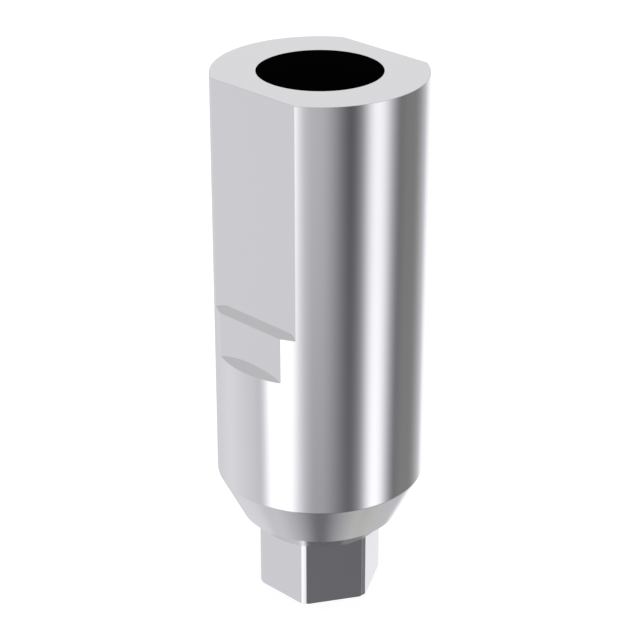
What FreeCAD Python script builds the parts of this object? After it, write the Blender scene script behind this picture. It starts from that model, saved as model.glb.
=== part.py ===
import FreeCAD, Part
import math
import os
import Sketcher

# Dental scan body, turned and milled from one piece of titanium, in millimetres.
# The origin is the centre of the seat that lands on the implant, and +Z runs up the axis.
# The stepped index flat faces -Y, and one face of the hexagon is parallel to it.

SIZES = [
    ("body_diameter", 4.5, "outside of the turned body"),
    ("length_above_seat", 10.07, "seat to top face"),
    ("cone_height", 1.01, "height of the tapered lower end"),
    ("seat_diameter", 3.47, "outside of the flat seat"),
    ("neck_diameter", 2.9, "neck where it leaves the seat"),
    ("neck_height", 0.36, "seat to the upper end of the hexagon"),
    ("spigot_diameter", 2.72, "turned size that stays at the corners of the hexagon"),
    ("spigot_length", 1.85, "seat to the end of the hexagon"),
    ("spigot_break", 0.02, "edge break round the end of the spigot"),
    ("hex_across_flats", 2.41, "hexagon that indexes in the implant"),
    ("upper_flat_distance", 1.9, "axis to the upper index flat"),
    ("lower_flat_distance", 2.06, "axis to the lower index flat"),
    ("back_flat_distance", 1.9, "axis to the plain flat behind"),
    ("upper_ledge_height", 5.03, "seat to the foot of the upper ledge"),
    ("lower_ledge_height", 4.02, "seat to the foot of the lower ledge"),
    ("ledge_slope", 38.0, "degrees from level, the same on both ledges"),
    ("channel_diameter", 2.6, "screw channel from the top face"),
    ("screw_seat_height", 1.5, "seat to the shoulder under the screw head"),
    ("shank_diameter", 1.8, "clearance hole for the shank of the screw"),
    ("cut_margin", 1.0, "how far a cut starts outside the stock"),
]
HEX_SIDES = 6

doc = FreeCAD.newDocument("scan_body")
sheet = doc.addObject("Spreadsheet::Sheet", "sizes")
for row, (alias, value, note) in enumerate(SIZES, start=1):
    sheet.set(f"A{row}", note)
    sheet.set(f"B{row}", str(value))
    sheet.setAlias(f"B{row}", alias)
doc.recompute()


def bound(formula):
    """Turn a formula of size names into one that reads the sheet."""
    for alias, _, _ in SIZES:
        formula = formula.replace(alias, "sizes." + alias)
    return formula


def origin_item(body, role):
    return next(item for item in body.Origin.OriginFeatures if item.Role == role)


def outline(body, name, role, corners):
    """Draw a closed outline; each corner is a pair of formulas, across and up."""
    sketch = body.newObject("Sketcher::SketchObject", name)
    sketch.AttachmentSupport = [(origin_item(body, role), "")]
    sketch.MapMode = "FlatFace"
    count = len(corners)
    turn = 2 * math.pi / count
    loose = [FreeCAD.Vector(math.cos(k * turn), math.sin(k * turn), 0) for k in range(count)]
    for k in range(count):
        sketch.addGeometry(Part.LineSegment(loose[k], loose[(k + 1) % count]), False)
    for k in range(count):
        sketch.addConstraint(Sketcher.Constraint("Coincident", k, 2, (k + 1) % count, 1))
    for k, (across, up) in enumerate(corners):
        for kind, formula, start in (("DistanceX", across, loose[k].x), ("DistanceY", up, loose[k].y)):
            number = sketch.addConstraint(Sketcher.Constraint(kind, -1, 1, k, 1, start))
            sketch.setExpression(f"Constraints[{number}]", bound(formula))
    return sketch


def revolve(body, name, kind, corners):
    """Turn an outline in the XZ plane once round the Z axis."""
    sketch = outline(body, name + "_outline", "XZ_Plane", corners)
    turned = body.newObject(kind, name)
    turned.Profile = sketch
    turned.ReferenceAxis = (sketch, ["V_Axis"])
    turned.Angle = 360
    doc.recompute()
    return turned


def mill(body, name, corners):
    """Cut an outline in the YZ plane right across the body, both ways along X."""
    sketch = outline(body, name + "_outline", "YZ_Plane", corners)
    pocket = body.newObject("PartDesign::Pocket", name)
    pocket.Profile = sketch
    pocket.Type = "ThroughAll"
    pocket.SideType = "Symmetric"
    doc.recompute()
    return pocket


def new_body(label):
    body = doc.addObject("PartDesign::Body", label)
    body.Label = label
    return body


RADIUS = "body_diameter / 2"
TOP = "length_above_seat"
OUTSIDE = "(body_diameter / 2 + cut_margin)"
ABOVE = "(length_above_seat + cut_margin)"

# Upper section: a round post with a flat in front and one behind.
upper = new_body("upper_section")
revolve(upper, "post", "PartDesign::Revolution", [
    ("0", "upper_ledge_height"),
    (RADIUS, "upper_ledge_height"),
    (RADIUS, TOP),
    ("0", TOP),
])
mill(upper, "upper_flat", [
    ("-" + OUTSIDE, "-cut_margin"),
    ("-upper_flat_distance", "-cut_margin"),
    ("-upper_flat_distance", ABOVE),
    ("-" + OUTSIDE, ABOVE),
])
mill(upper, "upper_back_flat", [
    ("back_flat_distance", "-cut_margin"),
    (OUTSIDE, "-cut_margin"),
    (OUTSIDE, ABOVE),
    ("back_flat_distance", ABOVE),
])

# Middle section: its top rim slopes in all round, flat and round parts alike, and
# what shows of that slope in front of the post is the upper ledge.
middle = new_body("middle_section")
revolve(middle, "middle_drum", "PartDesign::Revolution", [
    ("0", "lower_ledge_height"),
    (RADIUS, "lower_ledge_height"),
    (RADIUS, "upper_ledge_height"),
    ("0", "upper_ledge_height + body_diameter / 2 * tan(ledge_slope)"),
])
mill(middle, "lower_flat", [
    ("-" + OUTSIDE, "-cut_margin"),
    ("-lower_flat_distance", "-cut_margin"),
    ("-lower_flat_distance", "upper_ledge_height"),
    ("0", "upper_ledge_height + lower_flat_distance * tan(ledge_slope)"),
    ("0", ABOVE),
    ("-" + OUTSIDE, ABOVE),
])
mill(middle, "middle_back_flat", [
    ("back_flat_distance", "-cut_margin"),
    (OUTSIDE, "-cut_margin"),
    (OUTSIDE, ABOVE),
    ("back_flat_distance", ABOVE),
])

# Lower section: hexagon, neck, seat, tapered end and plain drum. The cone on top of
# the drum is the lower ledge, in front and behind.
piece = new_body("scan_body")
revolve(piece, "blank", "PartDesign::Revolution", [
    ("0", "-spigot_length"),
    ("spigot_diameter / 2 - spigot_break", "-spigot_length"),
    ("spigot_diameter / 2", "-spigot_length + spigot_break"),
    ("spigot_diameter / 2", "-neck_height"),
    ("neck_diameter / 2", "0"),
    ("seat_diameter / 2", "0"),
    (RADIUS, "cone_height"),
    (RADIUS, "lower_ledge_height"),
    ("0", "lower_ledge_height + body_diameter / 2 * tan(ledge_slope)"),
])
side = mill(piece, "hexagon_side", [
    ("-" + OUTSIDE, "-spigot_length - cut_margin"),
    ("-hex_across_flats / 2", "-spigot_length - cut_margin"),
    ("-hex_across_flats / 2", "-neck_height"),
    ("-" + OUTSIDE, "-neck_height"),
])
hexagon = piece.newObject("PartDesign::PolarPattern", "hexagon")
hexagon.Originals = [side]
hexagon.Axis = (origin_item(piece, "Z_Axis"), [""])
hexagon.Angle = 360
hexagon.Occurrences = HEX_SIDES
piece.Tip = hexagon
doc.recompute()

# The three sections are one piece of metal.
joined = piece.newObject("PartDesign::Boolean", "one_piece")
joined.Type = "Fuse"
joined.setObjects([middle, upper])
piece.Tip = joined
doc.recompute()

# Screw channel, shoulder under the screw head and clearance hole for the shank.
revolve(piece, "screw_channel", "PartDesign::Groove", [
    ("0", "-spigot_length - cut_margin"),
    ("shank_diameter / 2", "-spigot_length - cut_margin"),
    ("shank_diameter / 2", "screw_seat_height"),
    ("channel_diameter / 2", "screw_seat_height"),
    ("channel_diameter / 2", ABOVE),
    ("0", ABOVE),
])

doc.recompute()
for item in doc.Objects:
    if "Invalid" in item.State or "Error" in item.State:
        raise RuntimeError(f"{item.Label} failed: {item.State}")
shape = piece.Shape
if shape.isNull() or not shape.isValid() or len(shape.Solids) != 1:
    raise RuntimeError("the scan body isn't one valid solid")

os.makedirs("parts", exist_ok=True)
shape.exportStep(f"parts/{piece.Label}.step")
print(f"{piece.Label}: volume {shape.Volume:.4f} mm3, {len(shape.Faces)} faces, box {shape.BoundBox}")
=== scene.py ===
import math
import bpy
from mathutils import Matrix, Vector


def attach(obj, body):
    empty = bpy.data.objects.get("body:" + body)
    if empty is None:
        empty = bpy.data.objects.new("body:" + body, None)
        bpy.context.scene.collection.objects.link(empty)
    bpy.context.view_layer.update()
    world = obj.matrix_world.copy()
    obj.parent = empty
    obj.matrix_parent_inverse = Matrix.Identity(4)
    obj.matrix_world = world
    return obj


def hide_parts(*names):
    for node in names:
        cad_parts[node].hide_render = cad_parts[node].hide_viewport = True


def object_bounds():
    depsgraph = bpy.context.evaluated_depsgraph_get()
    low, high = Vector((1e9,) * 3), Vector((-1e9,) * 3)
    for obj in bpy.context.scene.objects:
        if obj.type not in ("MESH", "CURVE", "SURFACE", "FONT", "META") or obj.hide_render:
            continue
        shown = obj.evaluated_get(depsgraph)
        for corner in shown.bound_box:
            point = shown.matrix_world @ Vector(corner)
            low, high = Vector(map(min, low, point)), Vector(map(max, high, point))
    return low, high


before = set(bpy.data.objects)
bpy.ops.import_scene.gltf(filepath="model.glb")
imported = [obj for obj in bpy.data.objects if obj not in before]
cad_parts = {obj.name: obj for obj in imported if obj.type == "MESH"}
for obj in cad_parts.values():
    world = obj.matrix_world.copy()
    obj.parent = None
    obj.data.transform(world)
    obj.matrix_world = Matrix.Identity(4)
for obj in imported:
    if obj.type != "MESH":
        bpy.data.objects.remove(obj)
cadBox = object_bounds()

mm = 0.001
shownSide = -45.0  # bearing of the side that the photograph shows, in degrees
print("frame loaded, box in mm", [[round(v / mm, 2) for v in corner] for corner in cadBox])


class Wire:  # one output socket of a node tree; sums on it add their own Math nodes
    def __init__(self, tree, socket=None):
        self.tree = tree
        self.socket = socket

    def node(self, kind, settings=None, inputs=None, out=0):
        made = self.tree.nodes.new(kind)
        for name, value in (settings or {}).items():
            if name == "items":  # an Index Switch starts with two
                for _ in range(value - 2):
                    made.index_switch_items.new()
            else:
                setattr(made, name, value)
        for name, value in (inputs or {}).items():
            if isinstance(value, Wire):
                self.tree.links.new(value.socket, made.inputs[name])
            else:
                made.inputs[name].default_value = value
        return Wire(self.tree, made.outputs[out] if made.outputs else None)

    def math(self, operation, *values):
        return self.node("ShaderNodeMath", {"operation": operation}, dict(enumerate(values)))

    def own(self, operation, *more):  # the same, with this socket as the first value
        return self.math(operation, self, *more)

    def vector(self, operation, *values, out=0):
        settings = {"operation": operation}
        return self.node("ShaderNodeVectorMath", settings, dict(enumerate(values)), out)

    def part(self, axis):
        return self.node("ShaderNodeSeparateXYZ", None, {0: self}, axis)

    def toward(self, other, share):
        return self + (other - self) * share

    def fade(self, start, end):  # 0 at start, 1 at end, with a soft S between
        settings = {"interpolation_type": "SMOOTHSTEP"}
        return self.node("ShaderNodeMapRange", settings, {0: self, 1: start, 2: end})

    def colours(self, first, second):  # the first where this socket is 0, the second where it is 1
        settings = {"data_type": "RGBA"}  # its colour sockets are 6 and 7, and come out at 2
        return self.node("ShaderNodeMix", settings, {0: self, 6: first, 7: second}, out=2)

    def __add__(self, other):
        return self.math("ADD", self, other)

    def __radd__(self, other):
        return self.math("ADD", other, self)

    def __sub__(self, other):
        return self.math("SUBTRACT", self, other)

    def __rsub__(self, other):
        return self.math("SUBTRACT", other, self)

    def __mul__(self, other):
        return self.math("MULTIPLY", self, other)

    def __rmul__(self, other):
        return self.math("MULTIPLY", other, self)

    def __truediv__(self, other):
        return self.math("DIVIDE", self, other)

    def __rtruediv__(self, other):
        return self.math("DIVIDE", other, self)

    def __neg__(self):
        return self.math("MULTIPLY", self, -1.0)

    def __abs__(self):
        return self.math("ABSOLUTE", self)


def emptyTree(owner):  # the node tree of a material or a world, with nothing in it yet
    owner.use_nodes = True
    owner.node_tree.nodes.clear()
    return Wire(owner.node_tree)


def intoScene(name, data):
    made = bpy.data.objects.new(name, data)
    bpy.context.scene.collection.objects.link(made)
    return made


def faceAxis(made, bearing, above, away, height):  # stands to one side and looks down at the axis
    made.location = (away * math.cos(bearing), away * math.sin(bearing), height)
    made.rotation_euler = (math.pi / 2 - above, 0.0, bearing + math.pi / 2)


# The scan body: a turned blank with flats milled on it, as one lathe whose outline
# changes with the angle.
scanBody = {
    "sizes": {  # the inputs of its tree: distances from the axis, heights from the seat, breaks
        "Body Radius": cadBox[1].x,
        "Top": cadBox[1].z,
        "Spigot Length": -cadBox[0].z,
        "Cone Height": 1.01 * mm,
        "Seat Radius": 1.735 * mm,
        "Neck Radius": 1.45 * mm,
        "Neck Height": 0.36 * mm,
        "Spigot Radius": 1.36 * mm,
        "Spigot Break": 0.02 * mm,
        "Hexagon Half": 1.205 * mm,
        "Upper Flat": 1.9 * mm,
        "Lower Flat": 2.06 * mm,
        "Back Flat": 1.9 * mm,
        "Upper Ledge": 5.03 * mm,
        "Lower Ledge": 4.02 * mm,
        "Channel Radius": 1.3 * mm,
        "Screw Seat": 1.5 * mm,
        "Shank Radius": 0.9 * mm,
        "Edge Break": 0.006 * mm,
    },
    "ledgeSlope": math.radians(38.0),
    "hexagonSides": 6,
    "columns": 720,
    "rows": 25,  # one for each corner, one more for each broken edge, one to close
    "reach": 0.9999,  # share of a column's width within which it moves to an edge
    "flatEdge": math.radians(0.22),  # half of the broken edge at each side of a flat
    "hexagonEdge": math.radians(0.02),
    "edgeBreakShare": 0.45,  # most of a line that one edge break may take
    "leastCosine": 0.01,  # keeps a flat's distance finite where it faces away
    "sharpAbove": math.radians(5.0),
    "weldDistance": 0.0002 * mm,
}


def scanBodyTree(material):
    tree = bpy.data.node_groups.new("scanBodyForm", "GeometryNodeTree")
    tree.is_modifier = True
    for way in ("INPUT", "OUTPUT"):
        tree.interface.new_socket("Geometry", in_out=way, socket_type="NodeSocketGeometry")
    for name in scanBody["sizes"]:
        tree.interface.new_socket(name, in_out="INPUT", socket_type="NodeSocketFloat")
    given = tree.nodes.new("NodeGroupInput")
    size = {name: Wire(tree, given.outputs[name]) for name in scanBody["sizes"]}
    start = Wire(tree)
    body, rise = size["Body Radius"], math.tan(scanBody["ledgeSlope"])

    # Rows run up the outside and down the channel, columns go once round.
    rows = scanBody["rows"]
    index = start.node("GeometryNodeInputIndex")
    column = (index / rows).own("FLOOR")
    row = index.own("MODULO", rows)
    turn = 2 * math.pi
    spacing = turn / scanBody["columns"]
    angle = column * spacing - math.pi  # 0 is the front, where the index flats are

    def atEdge(angle, centre, period, edge, half):  # the two columns nearest an edge move to it
        local = (angle - centre).own("WRAP", period / 2, -period / 2)
        gap = abs(local) - edge
        near = abs(gap).own("LESS_THAN", spacing * scanBody["reach"])
        move = gap.own("SIGN") * half - gap
        return angle + near * local.own("SIGN") * move

    side = turn / scanBody["hexagonSides"]
    corner = (size["Hexagon Half"] / size["Spigot Radius"]).own("ARCCOSINE")
    angle = atEdge(angle, 0.0, side, corner, scanBody["hexagonEdge"])
    for name, centre in (("Upper Flat", 0.0), ("Lower Flat", 0.0), ("Back Flat", math.pi)):
        edgeAngle = (size[name] / body).own("ARCCOSINE")
        angle = atEdge(angle, centre, turn, edgeAngle, scanBody["flatEdge"])

    # Distance from the axis to each milled face, at this angle.
    cosine = angle.own("COSINE")
    front = cosine.own("MAXIMUM", scanBody["leastCosine"])
    back = (-cosine).own("MAXIMUM", scanBody["leastCosine"])
    turned = body.own("MINIMUM", size["Back Flat"] / back)
    upper = turned.own("MINIMUM", size["Upper Flat"] / front)
    lower = turned.own("MINIMUM", size["Lower Flat"] / front)
    hexAngle = angle.own("WRAP", side / 2, -side / 2)
    spigot = size["Spigot Radius"].own("MINIMUM", size["Hexagon Half"] / hexAngle.own("COSINE"))

    # The slope of a ledge follows the rim below it, flat or round.
    upperRise = (size["Lower Flat"] - upper * cosine).own("MINIMUM", body - upper) * rise
    lowerRise = (body - lower) * rise

    edge, bottom, neckFoot = size["Edge Break"], -size["Spigot Length"], -size["Neck Height"]
    endRadius = size["Spigot Radius"] - size["Spigot Break"]
    corners = [  # distance from the axis, height, True where the edge is broken
        (size["Shank Radius"], bottom, False),
        (spigot.own("MINIMUM", endRadius) - edge, bottom, False),
        (spigot, bottom + edge + (spigot - endRadius).own("MAXIMUM", 0.0), False),
        (spigot, neckFoot, False),
        (size["Spigot Radius"], neckFoot, True),
        (size["Neck Radius"], 0.0, False),
        (size["Seat Radius"], 0.0, True),
        (body, size["Cone Height"], True),
        (body, size["Lower Ledge"], True),
        (lower, size["Lower Ledge"] + lowerRise, False),
        (lower, size["Upper Ledge"], True),
        (upper, size["Upper Ledge"] + upperRise, False),
        (upper, size["Top"], True),
        (size["Channel Radius"], size["Top"], True),
        (size["Channel Radius"], size["Screw Seat"], False),
        (size["Shank Radius"], size["Screw Seat"], True),
    ]
    points = [start.node("ShaderNodeCombineXYZ", None, {0: r, 1: z}) for r, z, _ in corners]

    def partWay(point, other):  # an edge break's length along the line to the next corner
        line = start.vector("SUBTRACT", other, point)
        share = edge / start.vector("LENGTH", line, out="Value")
        share = share.own("MINIMUM", scanBody["edgeBreakShare"])
        step = start.node("ShaderNodeVectorMath", {"operation": "SCALE"}, {0: line, "Scale": share})
        return start.vector("ADD", point, step)

    outline = []
    for k, (_, _, broken) in enumerate(corners):
        if broken:
            outline.append(partWay(points[k], points[k - 1]))
            outline.append(partWay(points[k], points[(k + 1) % len(points)]))
        else:
            outline.append(points[k])
    outline.append(points[0])  # the last row closes on the first
    picked = start.node("GeometryNodeIndexSwitch", {"data_type": "VECTOR", "items": rows},
                        {0: row, **{1 + k: point for k, point in enumerate(outline)}})
    away, height = picked.part(0), picked.part(1)
    place = start.node("ShaderNodeCombineXYZ", None,
                       {0: away * angle.own("SINE"), 1: -(away * cosine), 2: height})

    sheet = start.node("GeometryNodeMeshGrid", None,
                       {"Vertices X": scanBody["columns"] + 1, "Vertices Y": rows})
    shaped = start.node("GeometryNodeSetPosition", None, {"Geometry": sheet, "Position": place})
    welded = start.node("GeometryNodeMergeByDistance", None,
                        {"Geometry": shaped, "Distance": scanBody["weldDistance"]})
    smooth = start.node("GeometryNodeSetShadeSmooth", None, {"Geometry": welded})
    bend = start.node("GeometryNodeInputMeshEdgeAngle")
    crisp = start.node("GeometryNodeSetShadeSmooth", {"domain": "EDGE"}, {
        "Geometry": smooth,
        "Selection": bend.own("GREATER_THAN", scanBody["sharpAbove"]),
        "Shade Smooth": False})
    real = start.node("GeometryNodeRealizeInstances", None, {"Geometry": crisp})
    coated = start.node("GeometryNodeSetMaterial", None, {"Geometry": real, "Material": material})
    start.node("NodeGroupOutput", None, {"Geometry": coated})
    return tree


# The metal: titanium, turned and milled bright. Inside the screw channel, shade is painted on: the
# walls are coloured near-black and not metallic.
titanium = {
    "grey": (0.78, 0.775, 0.80, 1.0),
    "roughness": 0.16,
    "roughnessSpread": 0.03,
    "noiseMiddle": 0.5,
    "markShare": 0.6,  # how much of the spread follows the tool marks
    "markPitch": 0.035 * mm,
    "markHeight": 0.0005 * mm,
    "markStrength": 0.5,
    "markDetail": 3.0,
    "patchScale": 900.0,
    "patchDetail": 2.0,
    "endFace": (0.8, 0.95),  # how level a face is before its marks run in rings
    # painted shade: near-black colour for the channel's walls, standing in for the shade in the deep
    # hole
    "channelPaintedShade": (0.003, 0.003, 0.004, 1.0),
    "channelRoughness": 0.9,
    "channelSkin": (0.012 * mm, 0.009 * mm),  # the painted shade ends this far outside the wall
    "seatMargin": 0.01 * mm,
}


def titaniumMaterial():
    material = bpy.data.materials.new("turnedTitanium")
    start = emptyTree(material)
    place = start.node("ShaderNodeTexCoord", out="Object")
    across, along, height = (place.part(axis) for axis in range(3))
    radius = (across * across + along * along).own("SQRT")
    level = abs(start.node("ShaderNodeNewGeometry", out="Normal").part(2))
    travel = height.toward(radius, level.fade(*titanium["endFace"]))  # marks run round the axis
    marks = start.node("ShaderNodeTexNoise", {"noise_dimensions": "1D"}, {
        "W": travel / titanium["markPitch"], "Scale": 1.0, "Detail": titanium["markDetail"]})
    patches = start.node("ShaderNodeTexNoise", None, {
        "Vector": place, "Scale": titanium["patchScale"], "Detail": titanium["patchDetail"]})
    mottle = patches.toward(marks, titanium["markShare"]) - titanium["noiseMiddle"]
    roughness = titanium["roughness"] + mottle * titanium["roughnessSpread"]
    bump = start.node("ShaderNodeBump", None, {
        "Strength": titanium["markStrength"], "Distance": titanium["markHeight"], "Height": marks})

    sizes = scanBody["sizes"]
    shank, channel = sizes["Shank Radius"], sizes["Channel Radius"]
    upper = height.own("GREATER_THAN", sizes["Screw Seat"] - titanium["seatMargin"])
    wall = upper * (channel - shank) + shank
    channelShadeMask = (radius - wall).fade(*titanium["channelSkin"])  # 1 on the walls of the channel, where shade is painted on
    # Painted shade in the channel: black base colour, no metal, high roughness.
    shader = start.node("ShaderNodeBsdfPrincipled", None, {
        "Base Color": channelShadeMask.colours(titanium["grey"], titanium["channelPaintedShade"]),
        "Metallic": 1.0 - channelShadeMask,
        "Roughness": roughness.toward(titanium["channelRoughness"], channelShadeMask),
        "Specular IOR Level": 0.0,
        "Normal": bump,
    })
    start.node("ShaderNodeOutputMaterial", None, {"Surface": shader})
    return material


def makeScanBody():
    material = titaniumMaterial()
    tree = scanBodyTree(material)
    maker = intoScene("maker", bpy.data.meshes.new("maker"))
    modifier = maker.modifiers.new("form", "NODES")
    modifier.node_group = tree
    for item in tree.interface.items_tree:
        if item.item_type == "SOCKET" and item.in_out == "INPUT" and item.name in scanBody["sizes"]:
            modifier[item.identifier] = scanBody["sizes"][item.name]
    ready = maker.evaluated_get(bpy.context.evaluated_depsgraph_get())
    mesh = bpy.data.meshes.new_from_object(ready)
    mesh.name = "turnedAndMilledBody"
    bpy.data.objects.remove(maker)
    piece = intoScene("turnedAndMilledBody", mesh)
    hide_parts("scan_body")
    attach(piece, "root")
    print("scan body made:", len(mesh.vertices), "points,", len(mesh.polygons), "faces")


makeScanBody()

# The studio: a white room below and around the metal, with panels that it reflects.
# Angles in degrees. A panel's centre is measured leftwards from the shown side, and a
# pair of values in it is for the top and the foot of the walls. The other pairs are
# heights, and one part of the room fades into the next between them.
studio = {
    "tint": (0.994, 0.992, 1.001, 1.0),
    "neutralTint": (1.006, 1.02, 0.945, 1.0),
    "neutralSide": ("neutral light on the right", -112.0, 18.0, 8.0, 1.0),  # its share is last
    "neutralAbove": 0.3,  # share of the neutral light in the dome
    "haze": (0.002, 0.0, 0.0105, 1.0),  # faint blue light from all round
    "ground": (1.0, 1.0, 1.0, 1.0),  # what the camera sees round the part
    "walls": 0.69,
    "wallPanels": [  # centre, half width, soft edge, brightness
        ("lit part of the left wall", 117.0, 20.0, 41.0, 0.90),
        ("shade beside the softbox", 63.5, 2.5, 13.0, (0.15, 0.47)),
        ("front wall", -10.5, 24.5, 8.0, (0.57, 0.405)),
        ("dark panel", -32.5, 15.5, 19.0, (0.083, 0.142)),
        ("left softbox", 44.0, 18.0, (11.5, 9.5), (1.80, 1.35)),
        ("right dark panel", -108.0, 25.5, 17.5, (0.231, 0.25)),
        ("right softbox", (-63.0, -62.5), (10.5, 10.0), (10.0, 9.0), (1.20, 1.40)),
        ("white room behind", -166.5, 17.0, 10.0, (1.05, 1.18)),
        ("edge of the dark panel", (-92.0, -89.0), 1.0, 12.0, (0.09, 0.02)),
    ],
    "wallHeights": (-19.0, -34.0),  # top and foot of the walls
    "tableEdge": (-34.0, -46.0),
    "table": 0.60,
    "tableParts": [
        ("far left of the table", 155.0, 32.0, 8.0, 0.80),
        ("left of the table", 79.0, 44.0, 8.0, 0.66),
        ("foot of the softbox", 41.0, 4.0, 5.0, 1.30),
        ("right of the table", -39.5, 73.5, 3.0, 0.25),
        ("far right of the table", -138.0, 28.0, 12.0, 0.60),
        ("dark front of the table", -10.0, 44.0, 4.0, 0.155),
    ],
    "middle": 0.80,
    "middleParts": [
        ("right of the middle", -95.0, 60.0, 40.0, 0.70),
        ("dark front of the middle", 0.0, 82.0, 57.0, 0.145),
    ],
    "middleEdge": (-62.0, -70.0),
    "dome": 0.61,
    "domeFoot": (-14.0, 10.0),
    "backdrop": ("bright backdrop", 180.0, 15.0, 15.0, 0.86),
    "backdropTop": (40.0, 24.0),
    "mapSize": 512,  # width of the map that guides the rays to the bright panels
}


def buildStudio():
    world = bpy.data.worlds.new("studio")
    bpy.context.scene.world = world
    start = emptyTree(world)
    toward = start.node("ShaderNodeTexCoord")
    bearing = toward.part(1).own("ARCTAN2", toward.part(0)).own("DEGREES")
    leftward = shownSide - bearing
    above = toward.part(2).own("ARCSINE").own("DEGREES")
    lower = above.fade(*studio["wallHeights"])
    inDome = above.fade(*studio["domeFoot"])
    halfTurn = 180.0

    def atHeight(value):
        if not isinstance(value, tuple):
            return value
        top, foot = value
        return lower * (foot - top) + top

    def covered(level, panel, strength=1.0):
        centre, half, soft, brightness = (atHeight(value) for value in panel[1:])
        off = abs((leftward - centre).own("WRAP", halfTurn, -halfTurn))
        mask = off.fade(half + soft, half - soft) * strength
        return mask * (brightness - level) + level

    def ring(name, panels):
        level = studio[name]
        for panel in studio[panels]:
            level = covered(level, panel)
        return level

    light = ring("walls", "wallPanels")
    light = light.toward(ring("table", "tableParts"), above.fade(*studio["tableEdge"]))
    light = light.toward(ring("middle", "middleParts"), above.fade(*studio["middleEdge"]))
    dome = covered(studio["dome"], studio["backdrop"], above.fade(*studio["backdropTop"]))
    light = light.toward(dome, inDome)
    neutral = covered(0.0, studio["neutralSide"]).toward(studio["neutralAbove"], inDome)
    tint = neutral.colours(studio["tint"], studio["neutralTint"])
    panels = start.node("ShaderNodeBackground", None, {"Color": tint, "Strength": light})
    haze = start.node("ShaderNodeBackground", None, {"Color": studio["haze"], "Strength": 1.0})
    room = start.node("ShaderNodeAddShader", None, {0: panels, 1: haze})
    ground = start.node("ShaderNodeBackground", None, {"Color": studio["ground"], "Strength": 1.0})
    seen = start.node("ShaderNodeLightPath", out="Is Camera Ray")
    mixed = start.node("ShaderNodeMixShader", None, {0: seen, 1: room, 2: ground})
    start.node("ShaderNodeOutputWorld", None, {"Surface": mixed})
    world.cycles.sampling_method = "MANUAL"
    world.cycles.sample_map_resolution = studio["mapSize"]
    print("studio ready:", len(studio["wallPanels"]), "wall panels")


# One big lamp overhead, and a pale floor that keeps a faint shadow.
lamp = {"width": 70 * mm, "distance": 150 * mm, "bearing": 120.0, "above": 60.0, "power": 0.02}
floor = {"half": 300 * mm, "grey": (0.45, 0.45, 0.45, 1.0), "glow": 0.78}


def buildLamp():
    data = bpy.data.lights.new("overheadSoftbox", "AREA")
    data.shape = "SQUARE"
    data.size = lamp["width"]
    data.energy = lamp["power"]
    bearing, above = math.radians(lamp["bearing"]), math.radians(lamp["above"])
    away, height = lamp["distance"] * math.cos(above), lamp["distance"] * math.sin(above)
    faceAxis(intoScene("overheadSoftbox", data), bearing, above, away, height)
    print("lamp ready")


def buildFloor():
    half, level = floor["half"], cadBox[0].z
    corners = [(-half, -half, level), (half, -half, level), (half, half, level), (-half, half, level)]
    mesh = bpy.data.meshes.new("paleFloor")
    mesh.from_pydata(corners, [], [(0, 1, 2, 3)])
    material = bpy.data.materials.new("paleFloor")
    start = emptyTree(material)
    shade = start.node("ShaderNodeBsdfDiffuse", None, {"Color": floor["grey"]})
    seen = start.node("ShaderNodeLightPath", out="Is Camera Ray")
    glow = start.node("ShaderNodeEmission", None, {"Strength": seen * floor["glow"]})
    both = start.node("ShaderNodeAddShader", None, {0: shade, 1: glow})
    start.node("ShaderNodeOutputMaterial", None, {"Surface": both})
    mesh.materials.append(material)
    ground = intoScene("paleFloor", mesh)
    ground.visible_glossy = False  # the metal reflects the studio, which reaches below
    print("floor ready")


# The camera: at the bearing of the shown side, tipped down towards the axis.
camera = {
    "away": 40.964 * mm,
    "height": 23.835 * mm,
    "tipped": 25.3,  # degrees below level
    "lens": 119.22,
    "sensor": 36.0,
    "sees": (1 * mm, 2000 * mm),
}


def placeCamera():
    data = bpy.data.cameras.new("camera")
    data.lens = camera["lens"]
    data.sensor_width = camera["sensor"]
    data.clip_start, data.clip_end = camera["sees"]
    bearing, tipped = math.radians(shownSide), math.radians(camera["tipped"])
    eye = intoScene("camera", data)
    faceAxis(eye, bearing, tipped, camera["away"], camera["height"])
    bpy.context.scene.camera = eye
    print("camera placed")


buildStudio()
buildLamp()
buildFloor()
placeCamera()
bpy.context.scene.view_settings.view_transform = "Standard"
